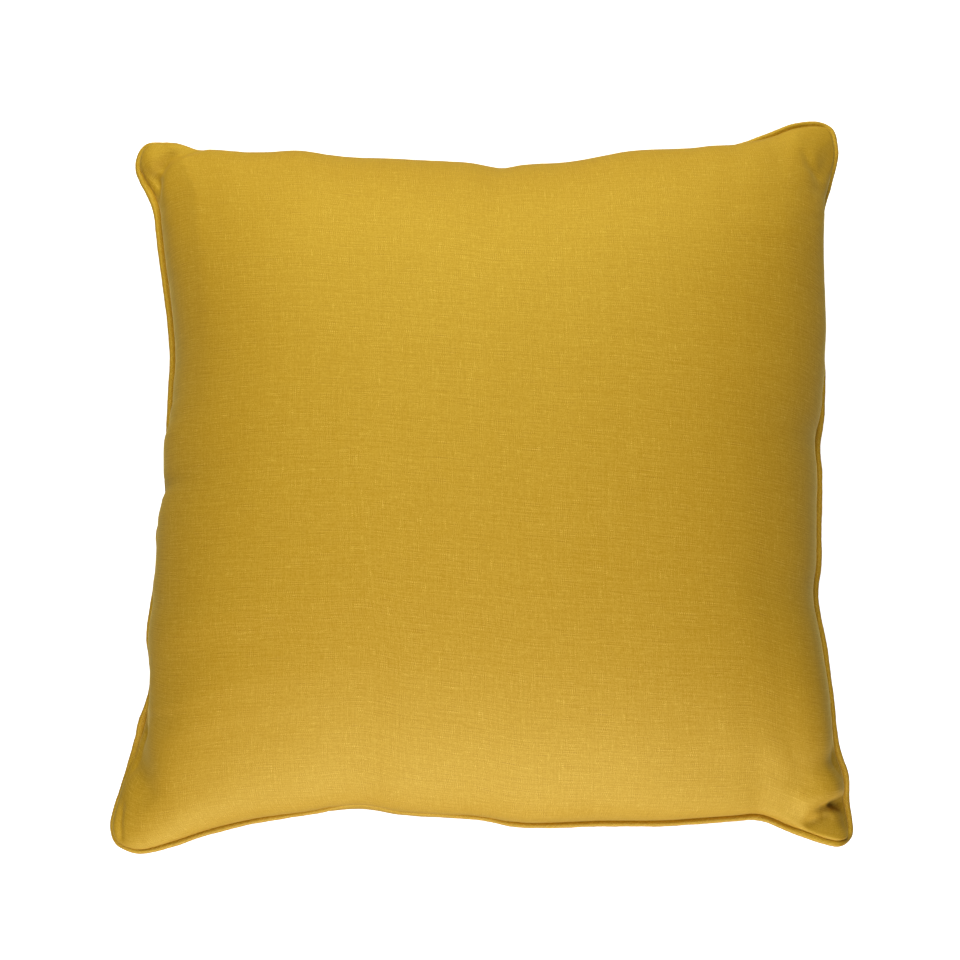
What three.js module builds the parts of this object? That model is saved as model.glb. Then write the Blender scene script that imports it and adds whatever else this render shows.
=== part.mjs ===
// A square linen cushion lying on its back, face up: one filled cover with a crowned face and
// drawn-in sides, and the covered piping cord that is sewn into its seam all the way round.
// Millimetres, +Z up, +Y towards the top edge of the face. The origin lies on the surface
// under the cushion, at the middle of its bounding box.
import * as THREE from 'three';

const { lerp, smoothstep, degToRad } = THREE.MathUtils;

// Driving dimensions
const HALF_SPAN = 240; // from the middle to the straight line through two corners
const CORNER_RADIUS = 10; // rounding of the seam at a corner
const SEAM_HEIGHT = 72; // mean height of the seam above the surface
const FACE_CROWN = 96; // rise of the face above the seam
const BACK_CROWN = 112; // drop of the back below the seam, before the surface flattens it
const REST_BLEND = 10; // height over which the back rounds into its flat resting patch
const PIPING_RADIUS = 1.7;
const CLEARANCE = 0.3; // between the cover and the piping

// Form of the filled cover
const CROWN_POWER = 2; // how square the crown's plan is: 2 is an ellipse
const SIDE_POWER = 0.46; // how upright the sides leave the seam: 0.5 is an ellipse
const PUFF_HEIGHT = 26; // height above or below the seam where the sides stand out most
const PUFF_FADE = 6; // how fast a side's bulge fades towards the middle of the face
const EAR_THINNING = 0.4; // share of the height that a corner loses at its tip
const EAR_REACH = 48; // distance from the tip over which a corner thins out

// Fineness of the faceted solids
const CELLS = 54; // along each side of the face and of the back
const EDGE_CROWDING = 0.5; // 0 spaces the cells evenly, 1 crowds them most towards the seam
const PIPING_SIDES = 8;

function table(columns, rows) {
  const names = columns.split(' ');
  return rows.map((row) => Object.fromEntries(names.map((name, k) => [name, row[k]])));
}

// The seam along each side, a row for each station. along is measured from the middle of the
// side towards +X or +Y, inset from the line through the corners inwards, lift from the mean
// seam height upwards, and bulge is how far the cover stands out past the seam.
const SEAM_COLUMNS = 'along inset lift bulge';
const BOTTOM = table(SEAM_COLUMNS, [
  [-224, -0.2, -5, 0],
  [-200, 4.4, -4, 0],
  [-180, 11, -3, 1],
  [-150, 18.5, -1, 2],
  [-110, 25, 1, 4],
  [-78, 29.4, 2, 6],
  [-52, 25.2, 1, 5],
  [-30, 23.8, 0, 5],
  [0, 21.2, 0, 4],
  [26, 17.2, 0, 3],
  [80, 18.3, 1, 2],
  [120, 17.8, 1, 2],
  [162, 20.4, 1, 2],
  [182, 20.9, 0, 1],
  [203, 13.6, -2, 0],
  [231, 3.4, 1, 0],
]);
const RIGHT = table(SEAM_COLUMNS, [
  [-228, 0, 1, 0],
  [-208, 3.8, -6, 0],
  [-193, 4.4, -5, 0],
  [-176, 9.2, 0, 1],
  [-145, 12.2, 2, 2],
  [-108, 16.4, 2, 3],
  [-76, 20.4, 1, 3.5],
  [-54, 18.6, 0, 3.5],
  [-30, 17.9, 0, 3.5],
  [7, 17, 0, 3.5],
  [24, 16.8, 0, 3.5],
  [48, 14.6, 0, 4],
  [70, 13.6, 1, 5],
  [120, 12.3, 1, 7.5],
  [170, 11.2, 0, 6.5],
  [196, 7.7, -5, 3],
  [208, 4, -7, 1.5],
  [222, -1, -9, 0],
  [236, -4.2, -10, 0],
]);
const TOP = table(SEAM_COLUMNS, [
  [-225, 3.4, -2, 0],
  [-217, 2.6, -2, 1],
  [-209, 3, -2, 2],
  [-201, 6, -1, 4],
  [-193, 9.4, -1, 5],
  [-165, 13.2, 0, 6.7],
  [-125, 15.5, 1, 8.7],
  [-90, 21, 1, 8.8],
  [-50, 22, 0, 8.2],
  [-15, 25, 0, 8.7],
  [14, 27, 0, 6],
  [35, 26, 0, 7.5],
  [60, 24, 1, 8],
  [100, 17.5, 1, 8.7],
  [145, 13, 1, 8],
  [175, 6.8, 0, 4],
  [200, -4, -2, 0.5],
  [215, -10.6, -4, 0],
  [234, -14.2, -9, 0],
]);
const LEFT = table(SEAM_COLUMNS, [
  [-226, 1.8, -5, 0],
  [-203, 7, -4, 0],
  [-178, 14.4, -2, 0],
  [-167, 17.8, -1, 0],
  [-157, 20.6, 0, 0.3],
  [-149, 24, 0, 3],
  [-131, 28.5, 1, 6],
  [-117, 27.2, 1, 5],
  [-103, 24.9, 2, 3.3],
  [-85, 25.7, 1, 3],
  [-70, 27, 1, 4.5],
  [-50, 29, 0, 5.5],
  [-33, 29.5, 0, 4],
  [-22, 31.5, 0, 6.5],
  [-8, 33.5, 0, 6],
  [-1, 34.2, 0, 3.5],
  [8, 34.5, 0, 6.2],
  [25, 34.6, 0, 6.8],
  [42, 34.2, 0, 3.2],
  [57, 34.2, 0, 1.6],
  [90, 35.2, 1, 2],
  [130, 30.3, 1, 2],
  [150, 26.6, 1, 2],
  [176, 22.6, 0, 1],
  [192, 20.6, 0, 0],
  [204, 15.4, -1, 0],
  [214, 10.4, -2, 0],
  [224, 7.4, -2, 0],
]);

// Soft troughs in the face where the corners have no filling to hold them out. x and y are the
// middle of a trough, and heading is its direction in degrees from +X.
const TROUGHS = table('x y heading length width depth', [
  [-221, 211, 75, 36, 8, 5],
  [-205, 230, 160, 36, 6, 3],
  [238, 221, 70, 44, 9, 5],
  [226, 221, 115, 24, 6, 3],
  [-215, -188, 115, 44, 12, 6],
  [231, -185, 160, 44, 12, 4],
  [226, -215, 150, 40, 9, 9],
]);

const onBottom = (row) => ({ x: row.along, y: row.inset - HALF_SPAN, lift: row.lift });
const onRight = (row) => ({ x: HALF_SPAN - row.inset, y: row.along, lift: row.lift });
const onTop = (row) => ({ x: row.along, y: HALF_SPAN - row.inset, lift: row.lift });
const onLeft = (row) => ({ x: row.inset - HALF_SPAN, y: row.along, lift: row.lift });

// The middle of the arc at a corner, between the last station of one side and the first of the next.
function cornerTip(end, next) {
  const cut = CORNER_RADIUS * (1 - Math.SQRT1_2);
  const reach = (a, b) => Math.sign(a) * (Math.max(Math.abs(a), Math.abs(b)) - cut);
  return { x: reach(end.x, next.x), y: reach(end.y, next.y), lift: (end.lift + next.lift) / 2 };
}

// The seam along one side, from its left or lower corner to the other, measured by its length.
class SeamSide extends THREE.Curve {
  constructor(seam, from, to, rows) {
    super();
    Object.assign(this, { seam, from, to, rows });
  }

  getPoint(t) {
    return this.seam.getPoint(lerp(this.from, this.to, t));
  }

  // How far the cover stands out at reach w, which runs from -1 to 1 along the side.
  bulgeAt(w) {
    const next = this.rows.findIndex((row) => row.along > w * HALF_SPAN);
    if (next < 1) return 0;
    const [a, b] = [this.rows[next - 1], this.rows[next]];
    return lerp(a.bulge, b.bulge, smoothstep(w * HALF_SPAN, a.along, b.along));
  }
}

// The whole seam is one closed curve, counter-clockwise from the lower left corner.
function seamSides() {
  const runs = [
    BOTTOM.map(onBottom),
    RIGHT.map(onRight),
    TOP.map(onTop).reverse(),
    LEFT.map(onLeft).reverse(),
  ];
  const arcMiddles = runs.map((run, k) => cornerTip(runs.at(k - 1).at(-1), run[0]));
  const stations = runs.flatMap((run, k) => [arcMiddles[k], ...run]);
  const points = stations.map(({ x, y, lift }) => new THREE.Vector3(x, y, SEAM_HEIGHT + lift));
  const seam = new THREE.CatmullRomCurve3(points, true, 'centripetal');
  const corners = arcMiddles.map((tip) => stations.indexOf(tip) / stations.length);
  return {
    bottom: new SeamSide(seam, corners[0], corners[1], BOTTOM),
    right: new SeamSide(seam, corners[1], corners[2], RIGHT),
    top: new SeamSide(seam, corners[3], corners[2], TOP),
    left: new SeamSide(seam, 1, corners[3], LEFT),
  };
}

const sides = seamSides();
const tips = [sides.bottom, sides.top].flatMap((side) => [side.getPoint(0), side.getPoint(1)]);

// The point of the surface spanned by the four sides of the seam, at reaches x and y from -1 to 1.
function spanned(x, y) {
  const [right, up] = [(x + 1) / 2, (y + 1) / 2];
  const across = sides.bottom.getPointAt(right).lerp(sides.top.getPointAt(right), up);
  const upwards = sides.left.getPointAt(up).lerp(sides.right.getPointAt(up), right);
  const low = tips[0].clone().lerp(tips[1], right);
  const high = tips[2].clone().lerp(tips[3], right);
  return across.add(upwards).sub(low.lerp(high, up));
}

// Height of the crown at reach w: 0 at the seam and 1 in the middle.
function crownAt(w) {
  return (1 - Math.abs(w) ** CROWN_POWER) ** SIDE_POWER;
}

// Reach on plan of a thread at reach w of the flat cloth, where the cushion is full.
function roundedReach(w) {
  const height = Math.sin((Math.PI / 2) * (1 - Math.abs(w)));
  return Math.sign(w) * (1 - height ** (1 / SIDE_POWER)) ** (1 / CROWN_POWER);
}

// Share of the height that is left near the corners, where the cover is hardly filled.
function earShare(point) {
  const nearest = Math.min(...tips.map((tip) => Math.hypot(tip.x - point.x, tip.y - point.y)));
  return 1 - EAR_THINNING * Math.exp(-((nearest / EAR_REACH) ** 2));
}

// How deep the troughs are at a point of the face.
function troughDepth(point) {
  const depths = TROUGHS.map(({ x, y, heading, length, width, depth }) => {
    const [dx, dy] = [point.x - x, point.y - y];
    const [cos, sin] = [Math.cos(degToRad(heading)), Math.sin(degToRad(heading))];
    const along = (dx * cos + dy * sin) / (length / 2);
    const across = (dy * cos - dx * sin) / width;
    return depth * Math.exp(-(along ** 2) - across ** 2);
  });
  return depths.reduce((sum, depth) => sum + depth, 0);
}

// Depth of the back under the seam once it rests: it rounds into a flat patch on the surface.
function restedDepth(depth, seamHeight) {
  const over = depth - (seamHeight - REST_BLEND);
  if (over <= 0) return depth;
  if (over >= 2 * REST_BLEND) return seamHeight;
  return depth - over ** 2 / (4 * REST_BLEND);
}

// How far the four sides push a point outwards, where the cover has risen this far off the seam.
function bulgeShift(x, y, rise) {
  const puff = (rise / PUFF_HEIGHT) * Math.exp(1 - rise / PUFF_HEIGHT);
  const push = (reach, side, along) => Math.max(0, reach) ** PUFF_FADE * side.bulgeAt(along) * puff;
  return new THREE.Vector3(
    push(x, sides.right, y) - push(-x, sides.left, y),
    push(y, sides.top, x) - push(-y, sides.bottom, x),
    0,
  );
}

// The point of the cover at reaches s and t of the flat cloth, on its face or on its back.
function coverPoint(s, t, isFace) {
  const x = lerp(s, roundedReach(s), crownAt(t));
  const y = lerp(t, roundedReach(t), crownAt(s));
  const point = spanned(x, y);
  const share = crownAt(x) * crownAt(y) * earShare(point);
  const rise = share * (isFace ? FACE_CROWN : BACK_CROWN);
  point.add(bulgeShift(x, y, rise));
  const sunk = Math.min(troughDepth(point), rise / 2);
  point.z += isFace ? rise - sunk : -restedDepth(rise, point.z);
  return point;
}

// Reaches of the grid lines, crowded towards the seam.
const REACHES = Array.from({ length: CELLS + 1 }, (_, k) => {
  const even = (2 * k) / CELLS - 1;
  return lerp(even, Math.sin((Math.PI / 2) * even), EDGE_CROWDING);
});

function closedGeometry(points, faces) {
  const geometry = new THREE.BufferGeometry().setFromPoints(points);
  geometry.setIndex(faces);
  geometry.computeVertexNormals();
  return geometry;
}

// Triangles over a grid of point numbers, counter-clockwise seen from above. The diagonal of
// each cell points at the nearest corner.
function gridFaces(grid) {
  const faces = [];
  for (let j = 0; j < CELLS; j += 1) {
    for (let i = 0; i < CELLS; i += 1) {
      const [a, b, c, d] = [grid[j][i], grid[j][i + 1], grid[j + 1][i + 1], grid[j + 1][i]];
      const rising = i < CELLS / 2 === j < CELLS / 2;
      faces.push(...(rising ? [a, b, c, a, c, d] : [a, b, d, b, c, d]));
    }
  }
  return faces;
}

// The filled cover: a grid of points on the face and one on the back, which share the seam.
function coverGeometry() {
  const points = [];
  const add = (s, t, isFace) => points.push(coverPoint(s, t, isFace)) - 1;
  const onSeam = (i, j) => i % CELLS === 0 || j % CELLS === 0;
  const face = REACHES.map((t) => REACHES.map((s) => add(s, t, true)));
  const back = REACHES.map((t, j) => REACHES.map((s, i) => (
    onSeam(i, j) ? face[j][i] : add(s, t, false)
  )));
  return closedGeometry(points, [...gridFaces(face), ...gridFaces(back).reverse()]);
}

// The seam's points all the way round, each with its outward direction and the cover's bulge.
function seamLoop() {
  const inner = REACHES.slice(0, -1);
  const along = (side, reaches) => reaches.map((w) => ({
    at: side.getPointAt((w + 1) / 2),
    bulge: side.bulgeAt(w),
  }));
  const loop = [
    ...along(sides.bottom, inner),
    ...along(sides.right, inner),
    ...along(sides.top, inner.map((w) => -w)),
    ...along(sides.left, inner.map((w) => -w)),
  ];
  return loop.map(({ at, bulge }, k) => {
    const ahead = loop[(k + 1) % loop.length].at;
    const behind = loop.at(k - 1).at;
    const outward = new THREE.Vector3(ahead.y - behind.y, behind.x - ahead.x, 0).normalize();
    return { at, outward, bulge };
  });
}

// The piping: a round cord in the groove of the seam, clear of the cover on both sides of it.
function pipingGeometry() {
  const loop = seamLoop();
  const points = loop.flatMap(({ at, outward, bulge }) => {
    const lean = (bulge * Math.E) / PUFF_HEIGHT;
    const offset = (PIPING_RADIUS + CLEARANCE) * Math.hypot(1, lean);
    return Array.from({ length: PIPING_SIDES }, (_, k) => {
      const turn = (2 * Math.PI * k) / PIPING_SIDES;
      const point = at.clone().addScaledVector(outward, offset + PIPING_RADIUS * Math.cos(turn));
      return point.setZ(at.z + PIPING_RADIUS * Math.sin(turn));
    });
  });
  const index = (i, k) => (i % loop.length) * PIPING_SIDES + (k % PIPING_SIDES);
  const faces = loop.flatMap((_, i) => Array.from({ length: PIPING_SIDES }, (__, k) => {
    const [a, b, c, d] = [index(i, k), index(i + 1, k), index(i + 1, k + 1), index(i, k + 1)];
    return [a, b, c, a, c, d];
  }));
  return closedGeometry(points, faces.flat());
}

function piece(name, geometry, color) {
  const mesh = new THREE.Mesh(geometry, new THREE.MeshStandardMaterial({ color, roughness: 0.92 }));
  mesh.name = name;
  return mesh;
}

const cushion = new THREE.Group();
cushion.add(piece('cover', coverGeometry(), 0xc9a038));
cushion.add(piece('piping', pipingGeometry(), 0xc89c2e));
const middle = new THREE.Box3().setFromObject(cushion).getCenter(new THREE.Vector3());
cushion.children.forEach((mesh) => mesh.position.set(-middle.x, -middle.y, 0));

export default cushion;
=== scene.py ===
"""A square linen cushion with piping in its seam, lying on its back on a pale floor.

The cover is a fine grid of cloth for the face and another for the back. They are puffed out between
their seams, settled by a short cloth simulation, then creased at the corners and puckered along the
seam. The piping is a covered cord that follows the same seam. Shapes are worked out in millimetres
and become metres where a mesh is made.
"""
import math

import bpy
import numpy as np
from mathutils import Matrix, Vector


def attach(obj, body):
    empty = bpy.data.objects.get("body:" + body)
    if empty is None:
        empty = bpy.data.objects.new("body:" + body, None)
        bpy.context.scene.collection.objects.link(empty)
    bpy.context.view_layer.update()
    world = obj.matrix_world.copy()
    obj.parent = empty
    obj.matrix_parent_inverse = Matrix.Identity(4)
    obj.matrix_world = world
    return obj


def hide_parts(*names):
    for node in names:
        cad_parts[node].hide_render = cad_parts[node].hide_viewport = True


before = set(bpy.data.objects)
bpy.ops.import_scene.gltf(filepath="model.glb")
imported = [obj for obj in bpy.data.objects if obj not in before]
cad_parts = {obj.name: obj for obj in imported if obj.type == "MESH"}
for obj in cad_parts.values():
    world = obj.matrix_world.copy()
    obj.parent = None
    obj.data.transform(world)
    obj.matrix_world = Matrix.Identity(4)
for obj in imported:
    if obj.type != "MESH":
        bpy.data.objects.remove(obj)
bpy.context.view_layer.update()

MM = 0.001

# Driving dimensions, in millimetres
HALF_SPAN = 240  # from the middle to the straight line through two corners
HALF_FLAT = 250  # half of a panel's side before it was sewn and filled
CORNER_RADIUS = 10  # rounding of the seam at a corner
SEAM_HEIGHT = 72  # mean height of the seam above the floor
FACE_CROWN = 96  # rise of the face above the seam
BACK_CROWN = 112  # drop of the back below the seam, before the floor flattens it
REST_BLEND = 10  # height over which the back rounds into its flat resting patch

# Piping, in millimetres
PIPING_RADIUS = 1.9
PIPING_OPENING = math.radians(150)  # half of the turn that its round part takes
FLANGE_REACH = 4.2  # from the cord's middle into the seam
FLANGE_THICKNESS = 0.7
PIPING_SWELLS = [  # waves round the loop, share of the thickness and start of each unevenness
    (61, 0.05, 0),
    (143, 0.03, 1),
    (397, 0.02, 0),
]

# Form of the filled cover
CROWN_POWER = 2.0  # how square the crown's plan is: 2 is an ellipse
SIDE_POWER = 0.46  # how upright the sides leave the seam: 0.5 is an ellipse
SEAM_PULL = 3  # how fast the seam's unevenness fades towards the middle: 1 spreads it over the face
PUFF_HEIGHT = 26  # height above or below the seam where the sides stand out most
ROLL_HEIGHT = 3  # height above the seam over which a rolled side reaches out
PUFF_FADE = 6  # how fast a side's bulge fades towards the middle of the face
EAR_THINNING = 0.4  # share of the height that a corner loses at its tip
EAR_REACH = 48  # distance from the tip over which a corner thins out

# Fineness
CELLS = 100  # along each side of a panel in the simulation; the mesh has twice as many
EDGE_CROWDING = 0.35  # 0 spaces the cells evenly, 1 crowds them most towards the seam
CURVE_STEPS = 40  # to each stretch of the seam between two stations
PROFILE_STEPS = 4000
PIPING_STEP = 1.5  # along the seam
PIPING_SIDES = 14

# The short simulation that lets the flat panels fill out
SETTLE_FRAMES = 26
SETTLE_PRESSURE = 5
SETTLE_CAP = 8  # farthest that a point may move
EASE_PASSES = 16  # of smoothing, which leaves only the broad moves
SPARE_CLOTH = 1.01  # how much larger the flat panels are than their nominal size
SETTLE_BENDING = 0.05  # the cloth's stiffness against bending


def table(names, rows):
    """Rows of numbers as one array for each named column."""
    return dict(zip(names.split(), np.array(rows, float).T))


# The seam along each side. along is measured from the middle of the side towards +X or +Y, inset
# from the line through the corners inwards and lift from the mean seam height upwards. bulge is how
# far the cover stands out past the seam, and roll how far the face reaches over it where the seam
# has turned under. seat is how far the middle of the piping's cord lies outside the seam.
SEAM_COLUMNS = "along inset lift bulge roll seat"
BOTTOM = table(SEAM_COLUMNS, [
    (-231, 2.2, -5, 0, 3, 1.6),
    (-220, -0.6, -5, 0, 2.5, 1.6),
    (-200, 3.7, -4, 0, 1, 1.6),
    (-180, 10.3, -3, 1, 0, 1.5),
    (-150, 17.8, -1, 2, 0, 1.3),
    (-110, 24.3, 1, 4, 0, 1.3),
    (-78, 29.4, 2, 6, 0, 1.3),
    (-52, 24.7, 1, 5, 0, 1.3),
    (-30, 23.1, 0, 5, 0, 1.3),
    (0, 20.5, 0, 4, 0, 1.3),
    (26, 16.2, 0, 3, 0, 1.3),
    (80, 17.1, 1, 2, 0, 2),
    (120, 17.4, 1, 2, 0, 2.2),
    (162, 20.3, 1, 2, 0, 2.2),
    (182, 21.2, 0, 1, 0, 2),
    (203, 13.1, -2, 0, 0, 1.9),
    (231, 3.8, 1, 0, 0, 1.7),
])
RIGHT = table(SEAM_COLUMNS, [
    (-228, -0.2, -11, 0, 1, 1.7),
    (-208, 2, -10, 0, 0, 1.7),
    (-193, 2.9, -5, 0, 0, 1.8),
    (-176, 8.7, -1, 1, 0, 2.1),
    (-145, 12.2, 2, 2, 0, 2.1),
    (-108, 16.2, 2, 1, 0, 2.4),
    (-76, 20.8, 1, 1, 0, 2.4),
    (-54, 18, 0, 1, 0, 2.4),
    (-30, 17.3, 0, 1, 0, 2.4),
    (7, 15.8, 0, 1, 0, 2.4),
    (24, 16.7, 0, 1, 0, 2.4),
    (48, 13.2, 0, 3, 0, 2),
    (70, 11.8, 1, 5, 0, 1.8),
    (96, 12, 1, 7.5, 0, 1.7),
    (120, 12, 1, 7.5, 0, 1.7),
    (170, 11.2, 0, 6.5, 1, 1.7),
    (196, 7.7, -5, 3, 2, 1.7),
    (208, 3.8, -7, 1, 2.2, 1.7),
    (222, -0.8, -9, 0, 2, 1.7),
    (236, -3.6, -10, 0, 1.2, 1.8),
])
TOP = table(SEAM_COLUMNS, [
    (-225, 2, -2, 3, 2, 1.7),
    (-217, 2, -2, 4, 4, 1.7),
    (-209, 3.4, -2, 4, 4.5, 1.7),
    (-201, 6.6, -1, 4, 4, 1.7),
    (-193, 9.6, -1, 5, 3, 1.7),
    (-165, 13, 0, 6.7, 0.5, 1.7),
    (-145, 15, 1, 7.7, 0, 1.7),
    (-125, 15, 1, 8.7, 0, 1.7),
    (-90, 20.6, 1, 8.8, 0, 1.7),
    (-50, 22, 0, 8.2, 0, 1.7),
    (-15, 24.4, 0, 8.7, 0, 1.7),
    (14, 27, 0, 6, 0, 1.7),
    (24, 25.4, 0, 7, 0, 1.7),
    (35, 24.8, 0, 7.5, 0, 1.7),
    (60, 24, 1, 8, 0, 1.7),
    (100, 16.7, 1, 8.7, 0, 1.7),
    (145, 12.6, 1, 8, 0, 1.7),
    (175, 5.8, 0, 4, 0, 2),
    (200, -3.8, -2, 0.5, 0, 2.2),
    (215, -10.6, -4, 0, 0.5, 2.2),
    (234, -14, -9, 0, 1.5, 2),
])
LEFT = table(SEAM_COLUMNS, [
    (-226, 1.8, -6, 0, 3, 1.7),
    (-203, 6.7, -9, 0, 3, 1.8),
    (-178, 14.6, -7, 0, 1, 2.4),
    (-167, 18.4, -4, 0, 0, 3),
    (-157, 21.4, -2, 0.3, 0, 3),
    (-149, 24.2, 0, 3, 0, 2.6),
    (-131, 27.3, 1, 6, 0, 1.8),
    (-117, 26, 1, 5, 0, 1.7),
    (-103, 23.9, 2, 3.3, 0, 1.7),
    (-85, 25.5, 1, 3, 0, 1.7),
    (-70, 27.4, 1, 4.5, 0, 1.7),
    (-50, 29.3, 0, 5.5, 0, 1.7),
    (-33, 28.6, 0, 4, 0, 1.7),
    (-22, 31.5, 0, 6.5, 0, 1.7),
    (-13, 32.9, 0, 6, 0, 1.7),
    (-5, 34, 0, 4, 0, 1.7),
    (5, 33.6, 0, 6, 0, 1.7),
    (25, 33.9, 0, 6.8, 0, 1.7),
    (42, 34.3, 0, 3.2, 0, 2),
    (57, 34.8, 0, 1.6, 0, 2.2),
    (90, 35.6, 1, 1, 0, 2.8),
    (130, 31, 1, 0.8, 0, 2.9),
    (150, 27.8, 1, 0.8, 0, 2.9),
    (176, 24, 0, 0.5, 0, 2.9),
    (192, 21.6, -1, 0, 0, 2.8),
    (204, 16.7, -3, 0, 0, 2.5),
    (214, 11, -5, 0, 0, 2.1),
    (224, 7, -5, 0, 1.5, 1.8),
])

# Folds at the corners. Each is a line of stations on plan: where it runs, its half width and its
# depth. A negative depth is a ridge.
FACE_FOLDS = [
    # The crease that parts the flat upper left ear from the filled body, and the one over its top
    [(-213, 229, 4, 1), (-218, 221, 5, 3), (-222, 214, 5.5, 5), (-222.5, 206, 5, 5), (-222.5, 198, 4, 3)],
    [(-190, 233, 3, 1), (-201, 231, 4, 3), (-212, 227, 4.5, 3), (-218, 221, 4, 2)],
    # The V at the upper right ear, whose right arm runs out into the drooping edge
    [(243, 236, 6, 1), (238, 226, 7, 1.8), (234, 215, 7, 1.8), (231, 204, 6, 1.2)],
    [(222, 229, 4, 1), (225, 221, 4, 1.6), (229.5, 214, 4, 1.5)],
    # The soft valley above the lower left ear, and the fine crease beside its piping
    [(-226, -170, 8, 3.5), (-224, -186, 10, 5), (-217, -203, 9, 2.5)],
    [(-233, -213, 2, 1.2), (-234, -224, 2, 1.6), (-233, -234, 2, 1.2)],
    # The tuck beside the piping above the lower left ear
    [(-217, -150, 3, 0.4), (-219, -160, 3, 1.4), (-220.5, -166, 2.5, 3.5), (-223, -171, 2.5, 1)],
    # The hollow of the lower right ear, between a steep fold and a ridge at its tip
    [(243, -210, 3.5, 8), (234, -212.5, 3.5, 9), (224, -215.5, 3.5, 6), (216, -218, 3, 1)],
    [(232, -219, 3.5, 1), (224, -221.5, 4, 4), (214, -225, 4, 3), (207, -228, 3.5, 0.5)],
    [(242, -221, 8, 2), (229, -225, 8, 2.5), (217, -230, 6, 1.5)],
    [(234, -202, 5, -1.5), (222, -206, 6, -3), (211, -211, 6, -2)],
    [(210, -232, 4, -1), (224, -233, 5, -2), (238, -234, 5, -2)],
    [(240, -181, 8, 5), (228, -187, 9, 4), (210, -193, 9, 1.5)],
]
BACK_FOLDS = [
    [(-214, 229, 4, 1.5), (-216, 216, 6, 4), (-210, 203, 7, 2)],
    [(236, 236, 4, 1), (230, 224, 6, 4), (219, 216, 7, 2)],
    [(-232, -222, 4, 2), (-221, -209, 6, 4.5), (-207, -204, 7, 2)],
    [(233, -227, 4, 2), (222, -213, 6, 4), (208, -209, 7, 1.5)],
]

# Small puckers where the seam gathers the cloth
PUCKERS_PER_SIDE = 34
PUCKER_REACH = (9, 26)  # how far in from the seam they run, least and most
PUCKER_WIDTH = (2.2, 4.5)
PUCKER_DEPTH = (0.1, 0.35)
PUCKER_SPREAD = 0.93  # share of a side's length that has puckers
PUCKER_LEAN = 0.25  # how far they stray from square to the seam
PUCKER_FLARE = 1.6  # how much wider they are at their inner ends
PUCKER_SEED = 11
SEAM_HOLD = 3  # distance from the seam over which folds and puckers fade to nothing


def closed_curve(points):
    """A centripetal Catmull-Rom curve through a closed loop of points."""
    before, start, end, after = (np.roll(points, shift, axis=0) for shift in (1, 0, -1, -2))
    d0, d1, d2 = (
        np.linalg.norm(b - a, axis=1, keepdims=True) ** 0.5
        for a, b in ((before, start), (start, end), (end, after))
    )
    leave = d1 * ((start - before) / d0 - (end - before) / (d0 + d1)) + (end - start)
    arrive = d1 * ((after - end) / d2 - (after - start) / (d1 + d2)) + (end - start)
    t = (np.arange(CURVE_STEPS) / CURVE_STEPS)[:, None]
    stretches = [
        (2 * t**3 - 3 * t**2 + 1) * start[k]
        + (t**3 - 2 * t**2 + t) * leave[k]
        + (3 * t**2 - 2 * t**3) * end[k]
        + (t**3 - t**2) * arrive[k]
        for k in range(len(points))
    ]
    return np.concatenate(stretches)


def corner_tip(end, following):
    """The middle of the arc at a corner, between the last station of one side and the next."""
    cut = CORNER_RADIUS * (1 - math.sqrt(0.5))
    reach = np.sign(end[:2]) * (np.maximum(abs(end[:2]), abs(following[:2])) - cut)
    return np.append(reach, (end[2] + following[2]) / 2)


def seam_sides():
    """Each side of the seam as finely spaced points, from its left or lower corner to the other."""
    runs = [
        np.stack([BOTTOM["along"], BOTTOM["inset"] - HALF_SPAN, BOTTOM["lift"]], 1),
        np.stack([HALF_SPAN - RIGHT["inset"], RIGHT["along"], RIGHT["lift"]], 1),
        np.stack([TOP["along"], HALF_SPAN - TOP["inset"], TOP["lift"]], 1)[::-1],
        np.stack([LEFT["inset"] - HALF_SPAN, LEFT["along"], LEFT["lift"]], 1)[::-1],
    ]
    stations = []
    corners = []
    for k, run in enumerate(runs):
        corners.append(len(stations) * CURVE_STEPS)
        stations += [corner_tip(runs[k - 1][-1], run[0]), *run]
    curve = closed_curve(np.array(stations)) + (0, 0, SEAM_HEIGHT)
    closed = np.concatenate([curve, curve[:1]])
    ends = corners[1:] + [len(curve)]
    bottom, right, top, left = (closed[a:b + 1] for a, b in zip(corners, ends))
    return {"bottom": bottom, "right": right, "top": top[::-1], "left": left[::-1]}


SIDES = seam_sides()
STATIONS = {"bottom": BOTTOM, "right": RIGHT, "top": TOP, "left": LEFT}
TIPS = np.array([SIDES["bottom"][0], SIDES["bottom"][-1], SIDES["top"][0], SIDES["top"][-1]])


def side_point(name, w):
    """Points of a side of the seam at reaches w, which run from -1 to 1 along its length."""
    points = SIDES[name]
    steps = np.linalg.norm(np.diff(points, axis=0), axis=1)
    length = np.concatenate([[0], np.cumsum(steps)])
    place = (w + 1) / 2 * length[-1]
    return np.stack([np.interp(place, length, column) for column in points.T], -1)


def station_value(name, column, w):
    """A column of a side's table at reaches w along it, eased from station to station."""
    rows = STATIONS[name]
    place = np.clip(w * HALF_SPAN, rows["along"][0], rows["along"][-1])
    upper = np.clip(np.searchsorted(rows["along"], place, side="right"), 1, len(rows["along"]) - 1)
    start, end = rows["along"][upper - 1], rows["along"][upper]
    share = (place - start) / (end - start)
    near = share**2 * (3 - 2 * share)
    return rows[column][upper - 1] * (1 - near) + rows[column][upper] * near


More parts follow.
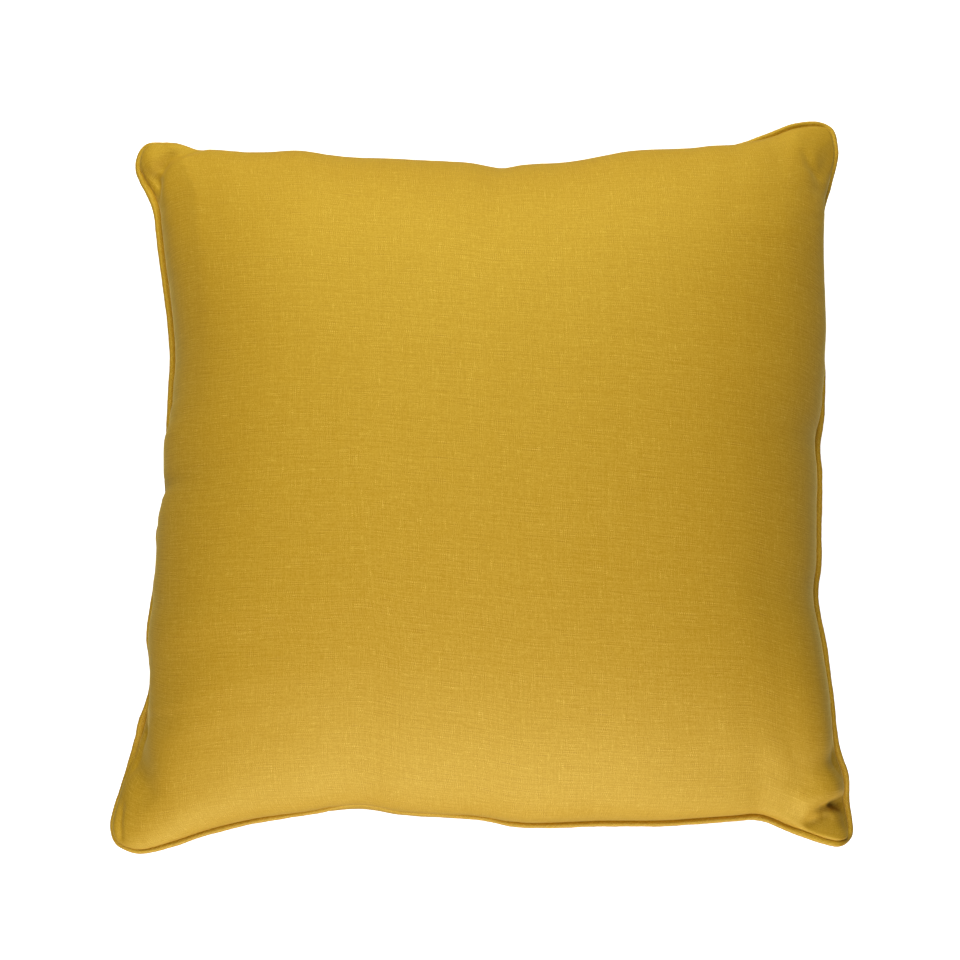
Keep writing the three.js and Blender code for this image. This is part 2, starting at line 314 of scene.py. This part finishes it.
def spanned(x, y):
    """Points between the four sides of the seam at reaches from -1 to 1, straight in the middle."""
    right, up = ((w[..., None] + 1) / 2 for w in (x, y))
    low, high = (TIPS[k] * (1 - right) + TIPS[k + 1] * right for k in (0, 2))
    west, east = (TIPS[k] * (1 - up) + TIPS[k + 2] * up for k in (0, 1))
    pulls = (
        (side_point("bottom", x) - low, 1 - up),
        (side_point("top", x) - high, up),
        (side_point("left", y) - west, 1 - right),
        (side_point("right", y) - east, right),
    )
    return low * (1 - up) + high * up + sum(pull * near**SEAM_PULL for pull, near in pulls)


def crown_at(w):
    """Height of the crown at reach w: 0 at the seam and 1 in the middle."""
    return np.clip(1 - abs(w) ** CROWN_POWER, 0, 1) ** SIDE_POWER


def rounded_reach(w):
    """Reach on plan of a thread at reach w of the flat cloth, along a section through the middle."""
    turn = np.linspace(0, math.pi / 2, PROFILE_STEPS)
    reach = (1 - np.cos(turn) ** (1 / SIDE_POWER)) ** (1 / CROWN_POWER)
    section = np.stack([reach * (HALF_SPAN - np.mean(LEFT["inset"])), np.cos(turn) * FACE_CROWN])
    length = np.concatenate([[0], np.cumsum(np.linalg.norm(np.diff(section), axis=0))])
    return np.sign(w) * np.interp(abs(w) * length[-1], length, reach)


def ear_share(points):
    """Share of the height that is left near the corners, where the cover is hardly filled."""
    gaps = np.linalg.norm(points[..., None, :2] - TIPS[:, :2], axis=-1).min(-1)
    return 1 - EAR_THINNING * np.exp(-((gaps / EAR_REACH) ** 2))


def rested_depth(depth, seam_height):
    """Depth of the back under the seam once it rests: it rounds into a flat patch on the floor."""
    over = np.clip(depth - (seam_height - REST_BLEND), 0, None)
    rounded = depth - over**2 / (4 * REST_BLEND)
    return np.where(over >= 2 * REST_BLEND, seam_height, rounded)


def side_shift(x, y, rise, is_face):
    """How far the four sides push points outwards, where the cover has risen off the seam."""
    puff = rise / PUFF_HEIGHT * np.exp(1 - rise / PUFF_HEIGHT)
    turn = (1 - np.exp(-rise / ROLL_HEIGHT)) * (1 if is_face else -1)

    def push(reach, name, along):
        share = np.clip(reach, 0, None) ** PUFF_FADE
        bulge, roll = (station_value(name, column, along) for column in ("bulge", "roll"))
        return share * (bulge * puff + roll * turn)

    along_x = push(x, "right", y) - push(-x, "left", y)
    along_y = push(y, "top", x) - push(-y, "bottom", x)
    return np.stack([along_x, along_y, np.zeros_like(rise)], -1)


def cover_points(s, t, is_face):
    """Points of the cover at reaches s and t of the flat cloth, on its face or on its back."""
    x = s + (rounded_reach(s) - s) * crown_at(t)
    y = t + (rounded_reach(t) - t) * crown_at(s)
    points = spanned(x, y)
    rise = crown_at(x) * crown_at(y) * ear_share(points) * (FACE_CROWN if is_face else BACK_CROWN)
    points += side_shift(x, y, rise, is_face)
    points[..., 2] += rise if is_face else -rested_depth(rise, points[..., 2])
    return points


def grid_reaches(cells):
    """Reaches of the grid lines, crowded towards the seam."""
    even = np.linspace(-1, 1, cells + 1)
    return even + (np.sin(math.pi / 2 * even) - even) * EDGE_CROWDING


def cover_sheets(reaches):
    """The face and the back as two grids of points at the same reaches of the flat cloth."""
    s, t = np.meshgrid(reaches, reaches)
    return np.stack([cover_points(s, t, True), cover_points(s, t, False)])


def sheet_numbers(lines):
    """Point numbers of the face's and the back's grids, which share their rims along the seam."""
    face = np.arange(lines * lines).reshape(lines, lines)
    back = face.copy()
    inner = back[1:-1, 1:-1]
    back[1:-1, 1:-1] = face.size + np.arange(inner.size).reshape(inner.shape)
    return np.stack([face, back])


def grid_quads(numbers):
    """Quads over a grid of point numbers, counter-clockwise seen from above."""
    corners = (numbers[:-1, :-1], numbers[:-1, 1:], numbers[1:, 1:], numbers[1:, :-1])
    return np.stack(corners, -1).reshape(-1, 4)


def sheet_quads(numbers):
    """Quads of the face and of the back, all facing out."""
    return np.concatenate([grid_quads(numbers[0]), grid_quads(numbers[1])[:, ::-1]])


def sheet_points(sheets):
    """The points of both sheets in the order of their numbers."""
    return np.concatenate([sheets[0].reshape(-1, 3), sheets[1][1:-1, 1:-1].reshape(-1, 3)])


def flat_points(reaches):
    """Reaches of the points of both sheets on the flat cloth, as points without height."""
    plan = np.stack(np.meshgrid(reaches, reaches), -1)
    sheet = np.pad(plan, ((0, 0), (0, 0), (0, 1)))
    return sheet_points(np.stack([sheet, sheet]))


def add_filling(trial, flat, seam_numbers):
    """Makes an object a filled cloth that was cut to a flat shape and is held at its seam."""
    trial.shape_key_add(name="filled")
    panels = trial.shape_key_add(name="panels")
    panels.data.foreach_set("co", (flat * MM).ravel())
    seam = trial.vertex_groups.new(name="seam")
    seam.add(seam_numbers.tolist(), 1, "REPLACE")
    cloth = trial.modifiers.new("filling", "CLOTH")
    cloth.settings.vertex_group_mass = "seam"
    cloth.settings.rest_shape_key = panels
    cloth.settings.bending_stiffness = SETTLE_BENDING
    cloth.settings.use_pressure = True
    cloth.settings.uniform_pressure_force = SETTLE_PRESSURE
    cloth.settings.effector_weights.gravity = 0
    cloth.point_cache.frame_end = SETTLE_FRAMES


def settled(sheets, reaches):
    """How far each point moves when the flat panels are filled and pull on their seam."""
    numbers = sheet_numbers(len(reaches))
    points = sheet_points(sheets)
    trial = new_object("settling", points, sheet_quads(numbers))
    flat = flat_points(reaches) * HALF_FLAT * SPARE_CLOTH
    add_filling(trial, flat, np.unique(numbers[0][numbers[0] == numbers[1]]))
    for step in range(1, SETTLE_FRAMES + 1):
        bpy.context.scene.frame_set(step)
    places = np.empty(points.size, np.float32)
    trial.evaluated_get(bpy.context.evaluated_depsgraph_get()).data.vertices.foreach_get("co", places)
    bpy.data.objects.remove(trial)
    bpy.context.scene.frame_set(1)
    move = places.reshape(-1, 3) / MM - points
    far = np.linalg.norm(move, axis=1, keepdims=True)
    return (move * np.minimum(1, SETTLE_CAP / np.maximum(far, SETTLE_CAP)))[numbers]


def eased(grid):
    """A grid of moves without its small waves: each point takes the mean of its neighbours, many times."""
    for _ in range(EASE_PASSES):
        sides = grid[:-2, 1:-1] + grid[2:, 1:-1] + grid[1:-1, :-2] + grid[1:-1, 2:]
        grid = grid.copy()
        grid[1:-1, 1:-1] = sides / 4
    return grid


def doubled(grid):
    """A grid with a smooth new line halfway between each two of its lines, both ways."""
    for axis in (0, 1):
        lines = np.moveaxis(grid, axis, 0)
        padded = np.concatenate([lines[:1], lines, lines[-1:]])
        between = (9 * (padded[1:-2] + padded[2:-1]) - padded[:-3] - padded[3:]) / 16
        finer = np.empty((2 * len(lines) - 1, *lines.shape[1:]))
        finer[::2] = lines
        finer[1::2] = between
        grid = np.moveaxis(finer, 0, axis)
    return grid


def outward(sheets):
    """Unit normals of both sheets, pointing out of the cushion."""
    normals = np.cross(np.gradient(sheets, axis=2), np.gradient(sheets, axis=1))
    normals[1] *= -1
    return normals / np.maximum(np.linalg.norm(normals, axis=-1, keepdims=True), 1e-9)


def fold_depth(plan, stations):
    """Depth at places on plan of one fold, a soft trough along a line of stations."""
    stations = np.array(stations, float)
    nearest = np.full(plan.shape[:-1], np.inf)
    depth = np.zeros(plan.shape[:-1])
    for start, end in zip(stations[:-1], stations[1:]):
        step = end[:2] - start[:2]
        share = np.clip((plan - start[:2]) @ step / (step @ step), 0, 1)
        gap = np.linalg.norm(plan - start[:2] - share[..., None] * step, axis=-1)
        width = start[2] + share * (end[2] - start[2])
        here = (start[3] + share * (end[3] - start[3])) * np.exp(-((gap / width) ** 2))
        depth = np.where(gap < nearest, here, depth)
        nearest = np.minimum(gap, nearest)
    return depth


def pucker_folds(draw):
    """Short troughs that run in from the seam at uneven spaces, as folds of two stations."""
    folds = []
    for name, inwards in (("bottom", (0, 1)), ("right", (-1, 0)), ("top", (0, -1)), ("left", (1, 0))):
        for place in np.sort(draw.uniform(-PUCKER_SPREAD, PUCKER_SPREAD, PUCKERS_PER_SIDE)):
            root = side_point(name, np.array(place))[:2]
            lean = draw.normal(0, PUCKER_LEAN)
            way = np.array(inwards) + lean * np.array(inwards)[::-1]
            spans = (PUCKER_REACH, PUCKER_WIDTH, PUCKER_DEPTH)
            reach, width, depth = (draw.uniform(*span) for span in spans)
            folds.append([(*root, width, depth), (*(root + way * reach), width * PUCKER_FLARE, 0)])
    return folds


def folded(sheets, reaches):
    """Both sheets with their corner folds and the puckers along their seam."""
    s, t = np.meshgrid(reaches, reaches)
    from_seam = (1 - np.maximum(abs(s), abs(t))) * HALF_FLAT
    free = 1 - np.exp(-((from_seam / SEAM_HOLD) ** 2))
    draw = np.random.default_rng(PUCKER_SEED)
    normals = outward(sheets)
    result = sheets.copy()
    for k, corner_folds in enumerate((FACE_FOLDS, BACK_FOLDS)):
        plan = sheets[k][..., :2]
        depth = sum(fold_depth(plan, fold) for fold in corner_folds + pucker_folds(draw))
        result[k] -= normals[k] * (depth * free)[..., None]
    result[..., 2] = np.maximum(result[..., 2], 0)
    return result


def seam_loop(step):
    """The seam as a loop of evenly spaced points, with their places, bulges, rolls and seats."""
    names = ("bottom", "right", "top", "left")
    turns = (1, 1, -1, -1)
    points = np.concatenate([SIDES[name][::turn][:-1] for name, turn in zip(names, turns)])
    closed = np.concatenate([points, points[:1]])
    length = np.concatenate([[0], np.cumsum(np.linalg.norm(np.diff(closed, axis=0), axis=1))])
    place = np.linspace(0, length[-1], round(length[-1] / step) + 1)
    loop = np.stack([np.interp(place, length, column) for column in closed.T], -1)

    def along_loop(column):
        values = np.concatenate([
            station_value(name, column, turn * np.linspace(-1, 1, len(SIDES[name]))[:-1])
            for name, turn in zip(names, turns)
        ])
        return np.interp(place[:-1], length, np.append(values, values[0]))

    return loop[:-1], place, *(along_loop(column) for column in ("bulge", "roll", "seat"))


def piping_section():
    """The piping's section, outwards and upwards from its cord: round, with a flange into the seam."""
    turn = np.linspace(-PIPING_OPENING, PIPING_OPENING, PIPING_SIDES - 2)
    round_part = np.stack([np.cos(turn), np.sin(turn)], -1) * PIPING_RADIUS
    flange = np.array([(-FLANGE_REACH, FLANGE_THICKNESS / 2), (-FLANGE_REACH, -FLANGE_THICKNESS / 2)])
    return np.concatenate([round_part, flange])


def piping_swell(place):
    """How much thicker or thinner the piping is than its section at places along its loop."""
    turn = place[:-1] / place[-1] * 2 * math.pi
    swell = np.ones(len(turn))
    for waves, share, start in PIPING_SWELLS:
        swell += share * np.sin(waves * turn + start)
    return swell


def piping_rings():
    """Rings of points round the piping and the flat place of each, with both ends of the bias strip."""
    centre, place, bulge, roll, seat = seam_loop(PIPING_STEP)
    heading = np.roll(centre, -1, axis=0) - np.roll(centre, 1, axis=0)
    side = np.stack([heading[:, 1], -heading[:, 0], np.zeros(len(centre))], -1)
    side /= np.linalg.norm(side, axis=1, keepdims=True)
    lean = bulge * math.e / PUFF_HEIGHT
    offset = seat * np.hypot(1, lean)
    swell = piping_swell(place)
    section = piping_section()
    out = offset[:, None] + section[:, 0] * swell[:, None]
    up = section[:, 1] * swell[:, None]
    under = np.arctan(roll / ROLL_HEIGHT)[:, None]
    rings = centre[:, None] + side[:, None] * (out * np.cos(under) + up * np.sin(under))[..., None]
    rings[..., 2] += up * np.cos(under) - out * np.sin(under)
    edges = np.linalg.norm(np.roll(section, -1, axis=0) - section, axis=1)
    girth = np.concatenate([[0], np.cumsum(edges)])
    along, around = np.meshgrid(place, girth, indexing="ij")
    return rings, np.stack([along + around, along - around], -1) * math.sqrt(0.5)


def new_object(name, points, quads):
    """A smooth mesh object, made in metres from millimetres."""
    mesh = bpy.data.meshes.new(name)
    mesh.from_pydata((points * MM).tolist(), [], quads.tolist())
    mesh.polygons.foreach_set("use_smooth", np.ones(len(mesh.polygons), bool))
    piece = bpy.data.objects.new(name, mesh)
    bpy.context.scene.collection.objects.link(piece)
    return piece


def lay_out(piece, cloth, bake):
    """Gives each corner of each quad its place on the flat cloth, and its place in a bake layout."""
    mesh = piece.data
    places = mesh.attributes.new("cloth", "FLOAT_VECTOR", "CORNER")
    places.data.foreach_set("vector", np.pad(cloth.reshape(-1, 2), ((0, 0), (0, 1))).ravel())
    layout = mesh.uv_layers.new(name="OFBake")
    layout.uv.foreach_set("vector", bake.reshape(-1, 2).ravel())


class Graph:
    """The nodes of a material or world, with short ways to add maths and noise to them."""

    def __init__(self, owner):
        owner.use_nodes = True
        self.tree = owner.node_tree

    def feed(self, socket, value):
        """Sets a socket to a number or colour, or links it to another node's output."""
        if isinstance(value, bpy.types.NodeSocket):
            self.tree.links.new(value, socket)
        else:
            socket.default_value = value

    def add(self, kind, inputs, **settings):
        """A new node with its settings and inputs."""
        node = self.tree.nodes.new(kind)
        for name, value in settings.items():
            setattr(node, name, value)
        for key, value in inputs.items():
            self.feed(node.inputs[key], value)
        return node

    def finish(self, name, values):
        """Sets the sockets of the shader that the nodes end in."""
        for key, value in values.items():
            self.feed(self.tree.nodes[name].inputs[key], value)

    def maths(self, operation, *values):
        """One step of arithmetic."""
        return self.add("ShaderNodeMath", dict(enumerate(values)), operation=operation).outputs[0]

    def noise(self, x, y, detail=0):
        """Smooth noise of about 0.5, one wave to each unit of x and y."""
        place = self.add("ShaderNodeCombineXYZ", {"X": x, "Y": y}).outputs[0]
        inputs = {"Vector": place, "Scale": 1, "Detail": detail}
        return self.add("ShaderNodeTexNoise", inputs, noise_dimensions="2D").outputs[0]


# Linen, in millimetres
THREAD_PITCH = 0.65
TONE_LENGTH = 18  # over which a thread changes its tone
SLUB_LENGTH = 7
BAND_WIDTH, BAND_LENGTH = 7, 140  # of the faint bands that run with the threads
BAND_DETAIL = 2
MOTTLE_SIZE = 45
MOTTLE_DETAIL = 3
WANDER_SIZE, WANDER = 25, 0.5  # how far threads stray, in thread pitches
WEFT_FALL, WARP_LEAN = 0.08, 0.04  # slopes of the threads against the panel's edges
CROSSING_BLEND = 0.2  # how softly one thread passes under the next
RELIEF, RELIEF_DEPTH = 0.25, 0.15  # strength and depth of the threads' bumps
LINEN_COLOUR = (0.50, 0.269, 0.0115)
TONE_COLOUR = (0.345, 0.293, 0.094)  # what a thread gains or loses as its tone goes from dark to pale

# Soft gloss of the threads and the fuzz that shows on slanting cloth
LINEN_FINISH = {
    "Roughness": 0.65,
    "IOR": 1.9,
    "Specular Tint": (1, 0.95, 0.28, 1),
    "Sheen Weight": 0.4,
    "Sheen Roughness": 0.35,
    "Sheen Tint": (1, 0.8, 0.25, 1),
}

# How much each kind of unevenness lightens or darkens the cloth, and how dark the painted shade in the gaps
# between threads is
WARP_SHARE = 0.27
WEFT_SHARE = 0.46
FLOAT_SHARE = 0.21
SLUB_SHARE = 1.6
# painted shade: the cloth is darker in the gaps between threads, where they dip under each other
GAP_SHADE_SHARE = 0.4
BAND_SHARE = 0.05
MOTTLE_SHARE = 0.04

# Means of the unevenness and of the painted gap shade, which are taken off so that the cloth keeps its colour
MEAN_HEIGHT = 0.6  # of the threads between the gaps and the crossings
MEAN_NOISE = 0.5

# Places in the noise, which keep one thread's noise apart from the next
WARP_SEED, WEFT_SEED = 0.2, 50.6
THREAD_STEP, SLUB_OFFSET = 7.31, 3.7
SLUB_LIMIT = 0.7  # noise above it makes a slub


def thread_tones(graph, across, along, seed, share):
    """How much lighter or darker a thread is than the next one, with slubs here and there."""
    reel = graph.maths("MULTIPLY_ADD", graph.maths("FLOOR", across), THREAD_STEP, seed)
    place = graph.maths("MULTIPLY", along, THREAD_PITCH / TONE_LENGTH)
    own = graph.noise(reel, place)
    neighbour = graph.noise(graph.maths("ADD", reel, THREAD_STEP), place)
    slub_place = graph.maths("MULTIPLY", along, THREAD_PITCH / SLUB_LENGTH)
    spot = graph.noise(graph.maths("ADD", reel, SLUB_OFFSET), slub_place)
    slub = graph.maths("MAXIMUM", graph.maths("SUBTRACT", spot, SLUB_LIMIT), 0)
    tone = graph.maths("MULTIPLY", graph.maths("SUBTRACT", own, neighbour), share)
    return graph.maths("MULTIPLY_ADD", slub, SLUB_SHARE, tone)


def float_tones(graph, a, b):
    """A tone of its own for each stretch of thread between two crossings."""
    place = graph.add("ShaderNodeCombineXYZ", {"X": graph.maths("FLOOR", a), "Y": graph.maths("FLOOR", b)})
    tone = graph.add("ShaderNodeTexWhiteNoise", {"Vector": place.outputs[0]}, noise_dimensions="2D")
    return tone.outputs["Value"]


def band_tones(graph, across, along):
    """Faint bands that run with the threads, where the yarn changes a little."""
    x, y = graph.maths("DIVIDE", across, BAND_WIDTH), graph.maths("DIVIDE", along, BAND_LENGTH)
    return graph.noise(x, y, BAND_DETAIL)


def thread_count(graph, across, along):
    """Number of the thread at a place across the cloth, with the way that threads stray."""
    x, y = graph.maths("DIVIDE", across, WANDER_SIZE), graph.maths("DIVIDE", along, WANDER_SIZE)
    return graph.maths("MULTIPLY_ADD", graph.noise(x, y), WANDER, graph.maths("DIVIDE", across, THREAD_PITCH))


def weave_crossing(graph, a, b):
    """Runs from -1, where a weft thread lies on top, to 1, where a warp thread does."""
    waves = [graph.maths("SINE", graph.maths("MULTIPLY", count, math.pi)) for count in (a, b)]
    return graph.maths("MULTIPLY", *waves)


def linen_tint(graph, light):
    """The linen's colour, lighter or darker by a tone of about 0."""
    inputs = {0: light, 1: TONE_COLOUR, 2: LINEN_COLOUR}
    return graph.add("ShaderNodeVectorMath", inputs, operation="MULTIPLY_ADD").outputs[0]


def linen(name):
    """Plain-weave linen: threads of uneven tone that pass over and under each other, with painted shade in
    the gaps between them.
    """
    material = bpy.data.materials.new(name)
    graph = Graph(material)
    cloth = graph.add("ShaderNodeAttribute", {}, attribute_name="cloth").outputs["Vector"]
    parts = graph.add("ShaderNodeSeparateXYZ", {"Vector": cloth})
    u, v = parts.outputs["X"], parts.outputs["Y"]
    a, b = thread_count(graph, u, v), thread_count(graph, v, u)
    crossing = weave_crossing(graph, a, b)
    span = {"Value": crossing, "From Min": -CROSSING_BLEND, "From Max": CROSSING_BLEND}
    warp_over = graph.add("ShaderNodeMapRange", span).outputs[0]
    height = graph.maths("SQRT", graph.maths("ABSOLUTE", crossing))
    warp = thread_tones(graph, a, b, WARP_SEED, WARP_SHARE)
    weft = thread_tones(graph, b, a, WEFT_SEED, WEFT_SHARE)
    tone = graph.add("ShaderNodeMix", {0: warp_over, 2: weft, 3: warp}, data_type="FLOAT").outputs[0]
    bands = graph.maths("ADD", band_tones(graph, u, v), band_tones(graph, v, u))
    x, y = (graph.maths("DIVIDE", place, MOTTLE_SIZE) for place in (u, v))
    mottle = graph.noise(x, y, MOTTLE_DETAIL)
    middle = -MEAN_HEIGHT * GAP_SHADE_SHARE - MEAN_NOISE * FLOAT_SHARE - BAND_SHARE - MEAN_NOISE * MOTTLE_SHARE
    light = graph.maths("ADD", tone, middle)
    light = graph.maths("MULTIPLY_ADD", float_tones(graph, a, b), FLOAT_SHARE, light)
    # painted shade: darker where the threads dip into the gaps between them
    light = graph.maths("MULTIPLY_ADD", height, GAP_SHADE_SHARE, light)
    light = graph.maths("MULTIPLY_ADD", bands, BAND_SHARE, light)
    light = graph.maths("MULTIPLY_ADD", mottle, MOTTLE_SHARE, light)
    bumps = {"Height": height, "Strength": RELIEF, "Distance": RELIEF_DEPTH * MM}
    relief = graph.add("ShaderNodeBump", bumps).outputs[0]
    surface = {"Base Color": linen_tint(graph, light), "Normal": relief}
    graph.finish("Principled BSDF", surface | LINEN_FINISH)
    return material


# Places in the bake layouts, as shares of the whole: the cover's two panels lie side by side
PANEL_BAKE_HALF = (0.24, 0.48)
FACE_BAKE_MIDDLE = (0.25, 0.5)
BACK_BAKE_STEP = (0.5, 0)
PIPING_BAKE_SPAN, PIPING_BAKE_MARGIN = 0.98, 0.01


def make_cover(shift):
    """The filled cover, settled and folded, in linen that runs with its panels."""
    coarse = grid_reaches(CELLS)
    fine = np.interp(np.arange(2 * CELLS + 1) / 2, np.arange(CELLS + 1), coarse)
    sheets = cover_sheets(fine)
    moves = settled(cover_sheets(coarse), coarse)
    sheets += np.stack([doubled(eased(move)) for move in moves])
    sheets = folded(sheets, fine)
    quads = sheet_quads(sheet_numbers(len(fine)))
    cover = new_object("linen_cover", sheet_points(sheets) + shift, quads)
    at_corners = flat_points(fine)[quads][..., :2]
    bake = at_corners * PANEL_BAKE_HALF + FACE_BAKE_MIDDLE
    bake[len(quads) // 2:] += BACK_BAKE_STEP
    off_grain = at_corners[..., ::-1] * (WARP_LEAN, WEFT_FALL)
    lay_out(cover, (at_corners + off_grain) * HALF_FLAT, bake)
    cover.data.materials.append(linen("cover_linen"))
    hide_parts("cover")
    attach(cover, "root")


def make_piping(rings, cloth, shift):
    """The piping all round the seam, in linen cut on the bias."""
    count, around = rings.shape[:2]
    grid = np.arange((count + 1) * (around + 1)).reshape(count + 1, around + 1)
    ring, side = np.divmod(grid_quads(grid.T), around + 1)
    piping = new_object("piping_cord", rings.reshape(-1, 3) + shift, ring % count * around + side % around)
    bake = np.stack([ring / count, side / around], -1) * PIPING_BAKE_SPAN + PIPING_BAKE_MARGIN
    lay_out(piping, cloth[ring, side], bake)
    piping.data.materials.append(linen("piping_linen"))
    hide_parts("piping")
    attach(piping, "root")


# Camera, as far from the face and as far off its normal as in the photograph
CAMERA_TILT = 12  # degrees off the normal of the face, towards its bottom edge
CAMERA_DISTANCE = 1800  # from the middle of the seam
CAMERA_AIM_RISE = 3.3  # how far up the picture the aim lies from the middle of the seam
CAMERA_LENS = 101.25


def make_camera(shift):
    """The camera above the face, tilted towards its bottom edge."""
    tilt = math.radians(CAMERA_TILT)
    back = Vector((0, -math.sin(tilt), math.cos(tilt)))
    up = Vector((0, math.cos(tilt), math.sin(tilt)))
    middle = Vector((shift[0], shift[1], SEAM_HEIGHT))
    camera = bpy.data.objects.new("camera", bpy.data.cameras.new("camera"))
    camera.data.lens = CAMERA_LENS
    camera.location = (middle + back * CAMERA_DISTANCE) * MM
    aim = (middle + up * CAMERA_AIM_RISE) * MM
    camera.rotation_mode = "QUATERNION"
    camera.rotation_quaternion = (aim - camera.location).to_track_quat("-Z", "Y")
    bpy.context.scene.collection.objects.link(camera)
    bpy.context.scene.camera = camera


# Studio, in metres, degrees and watts
LIGHT_AIM = Vector((0, 0, 0.1))
WARM, COOL = (1, 1, 0.7), (1, 1, 1.2)
LIGHTS = {  # azimuth from +Y towards +X, elevation, distance, width, height, power, colour
    "lower_softbox": (180, 10, 1.7, 1.2, 0.5, 19.0, COOL),
    "lower_high_softbox": (180, 40, 1.7, 1.2, 0.7, 12.3, COOL),
    "upper_softbox": (0, 22, 1.7, 1.2, 0.7, 12.4, WARM),
    "upper_high_softbox": (0, 50, 1.7, 1.2, 0.7, 12.6, WARM),
    "top_softbox": (0, 90, 1.9, 0.9, 0.9, 3.6, COOL),
    "corner_softbox": (-45, 50, 1.7, 0.9, 0.9, 6.2, WARM),
}
FLOOR_HALF = 4  # half of the floor's side
FLOOR_FINISH = {
    "Base Color": (0.9, 0.9, 0.9, 1),
    "Roughness": 0.9,
    "Emission Color": (1, 1, 1, 1),
    "Emission Strength": 0.75,  # keeps the floor white, with only a faint shadow
}
GROUND_LIGHT = 0.3  # that the floor throws up
BACKDROP = 0.76  # as bright as the floor far off


def make_light(name, azimuth, elevation, distance, width, height, power, colour):
    """A softbox that faces the cushion and that the camera doesn't see."""
    turn, rise = math.radians(azimuth), math.radians(elevation)
    away = Vector((math.sin(turn) * math.cos(rise), math.cos(turn) * math.cos(rise), math.sin(rise)))
    light = bpy.data.objects.new(name, bpy.data.lights.new(name, "AREA"))
    light.data.shape = "RECTANGLE"
    light.data.size, light.data.size_y = width, height
    light.data.energy, light.data.color = power, colour
    light.location = LIGHT_AIM + away * distance
    light.rotation_mode = "QUATERNION"
    light.rotation_quaternion = (-away).to_track_quat("-Z", "Y")
    light.visible_camera = False
    bpy.context.scene.collection.objects.link(light)


def make_floor():
    """A pale floor that casts no light back on the cushion, as in a studio cut-out."""
    mesh = bpy.data.meshes.new("floor")
    corners = [(x * FLOOR_HALF, y * FLOOR_HALF, 0) for x, y in ((-1, -1), (1, -1), (1, 1), (-1, 1))]
    mesh.from_pydata(corners, [], [(0, 1, 2, 3)])
    material = bpy.data.materials.new("pale_floor")
    Graph(material).finish("Principled BSDF", FLOOR_FINISH)
    mesh.materials.append(material)
    floor = bpy.data.objects.new("floor", mesh)
    floor.visible_diffuse = False
    floor.visible_glossy = False
    bpy.context.scene.collection.objects.link(floor)


def make_world():
    """A little light from below, as from a pale floor, and a pale backdrop behind the floor."""
    world = bpy.data.worlds.new("studio")
    graph = Graph(world)
    direction = graph.add("ShaderNodeTexCoord", {}).outputs["Generated"]
    height = graph.add("ShaderNodeSeparateXYZ", {"Vector": direction}).outputs["Z"]
    glow = graph.maths("MULTIPLY", graph.maths("LESS_THAN", height, 0), GROUND_LIGHT)
    seen = graph.add("ShaderNodeLightPath", {}).outputs["Is Camera Ray"]
    strength = graph.add("ShaderNodeMix", {"Factor": seen, "A": glow, "B": BACKDROP}).outputs["Result"]
    graph.finish("Background", {"Color": (1, 1, 1, 1), "Strength": strength})
    bpy.context.scene.world = world


def make_studio():
    """Floor, backdrop and lights."""
    make_floor()
    make_world()
    for name, settings in LIGHTS.items():
        make_light(name, *settings)
    bpy.context.scene.view_settings.view_transform = "Standard"


piping, piping_cloth = piping_rings()
lowest, highest = piping.reshape(-1, 3).min(0), piping.reshape(-1, 3).max(0)
SHIFT = np.append(-(lowest + highest)[:2] / 2, 0)
make_camera(SHIFT)
make_cover(SHIFT)
make_piping(piping, piping_cloth, SHIFT)
make_studio()
